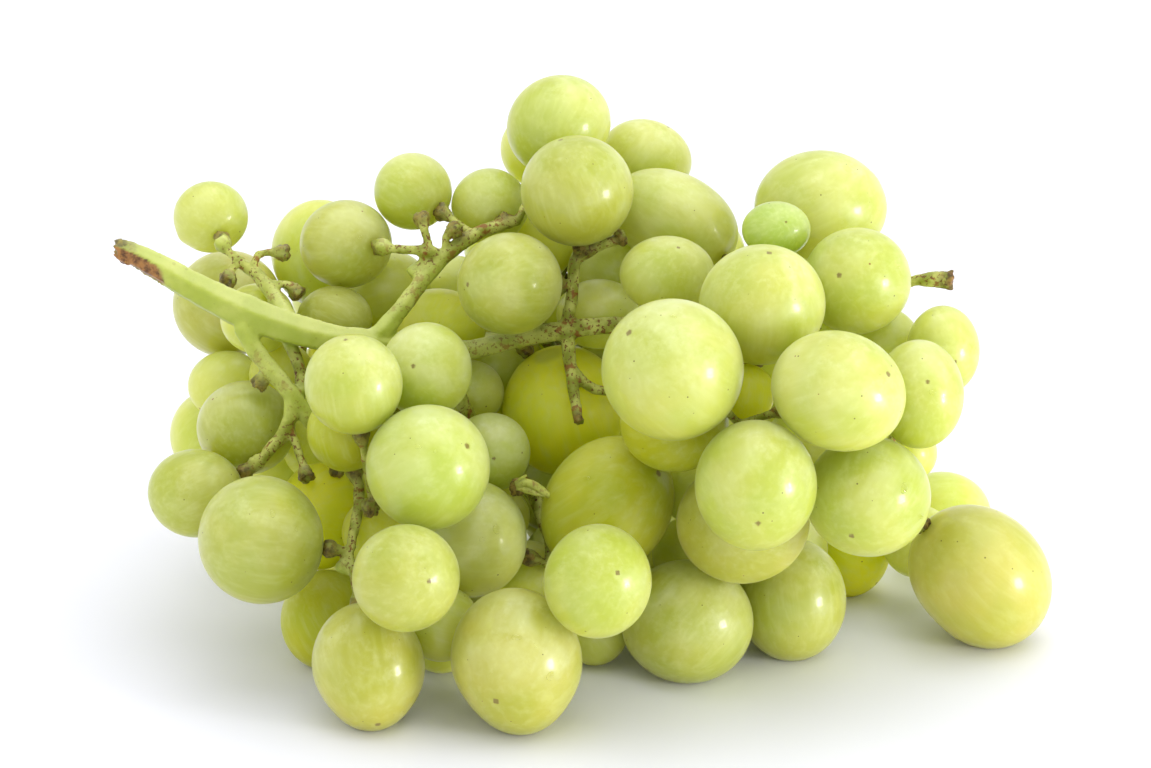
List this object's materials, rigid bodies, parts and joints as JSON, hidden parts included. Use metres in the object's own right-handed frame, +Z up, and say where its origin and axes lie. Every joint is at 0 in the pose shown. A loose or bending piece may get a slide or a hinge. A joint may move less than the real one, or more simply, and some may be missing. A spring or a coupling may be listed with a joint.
{
  "type": "bunch of grapes",
  "caption": "Bunch of green table grapes on its stalk, lying on its side; rests on its lowest berries.",
  "frame": {"origin": "on the resting surface, under the middle of the bunch's bounding box", "axes": "+X along the bunch away from the peduncle's cut end, +Y to the back, +Z up"},
  "size_m": [0.173, 0.1226, 0.0976],
  "materials": {
    "berry_skin": "translucent yellow-green grape skin with a faint pale bloom, soft gloss",
    "shaded_berry_skin": "the same grape skin, deeper olive green inside the bunch",
    "rachis_green": "matt fresh green stalk, speckled and tipped with brown"
  },
  "bodies": {
    "root": {"crown_berry_01": "berry_skin", "crown_berry_02": "berry_skin", "crown_berry_03": "berry_skin", "crown_berry_04": "berry_skin", "crown_berry_05": "berry_skin", "crown_berry_06": "berry_skin", "crown_berry_07": "berry_skin", "crown_berry_08": "berry_skin", "crown_berry_09": "berry_skin", "crown_berry_10": "berry_skin", "inner_cluster_01": "shaded_berry_skin", "inner_cluster_02": "shaded_berry_skin", "inner_cluster_03": "shaded_berry_skin", "inner_cluster_04": "shaded_berry_skin", "inner_cluster_05": "shaded_berry_skin", "inner_cluster_06": "shaded_berry_skin", "inner_cluster_07": "shaded_berry_skin", "inner_cluster_08": "shaded_berry_skin", "inner_cluster_09": "shaded_berry_skin", "inner_cluster_10": "shaded_berry_skin", "inner_cluster_11": "shaded_berry_skin", "left_berry_01": "berry_skin", "left_berry_02": "berry_skin", "left_berry_03": "berry_skin", "left_berry_04": "berry_skin", "left_berry_05": "berry_skin", "left_berry_06": "berry_skin", "left_berry_07": "berry_skin", "left_berry_08": "berry_skin", "left_berry_09": "berry_skin", "left_berry_10": "berry_skin", "left_berry_11": "berry_skin", "left_berry_12": "berry_skin", "left_berry_13": "berry_skin", "middle_berry_01": "berry_skin", "middle_berry_02": "berry_skin", "middle_berry_03": "berry_skin", "middle_berry_04": "berry_skin", "middle_berry_05": "berry_skin", "middle_berry_06": "berry_skin", "middle_berry_07": "berry_skin", "middle_berry_08": "berry_skin", "middle_berry_09": "berry_skin", "middle_berry_10": "berry_skin", "rachis": "rachis_green", "right_berry_01": "berry_skin", "right_berry_02": "berry_skin", "right_berry_03": "berry_skin", "right_berry_04": "berry_skin", "right_berry_05": "berry_skin", "right_berry_06": "berry_skin", "right_berry_07": "berry_skin", "right_berry_08": "berry_skin", "right_berry_09": "berry_skin", "right_berry_10": "berry_skin", "right_berry_11": "berry_skin", "right_berry_12": "berry_skin", "right_berry_13": "berry_skin"}
  },
  "joints": []
}
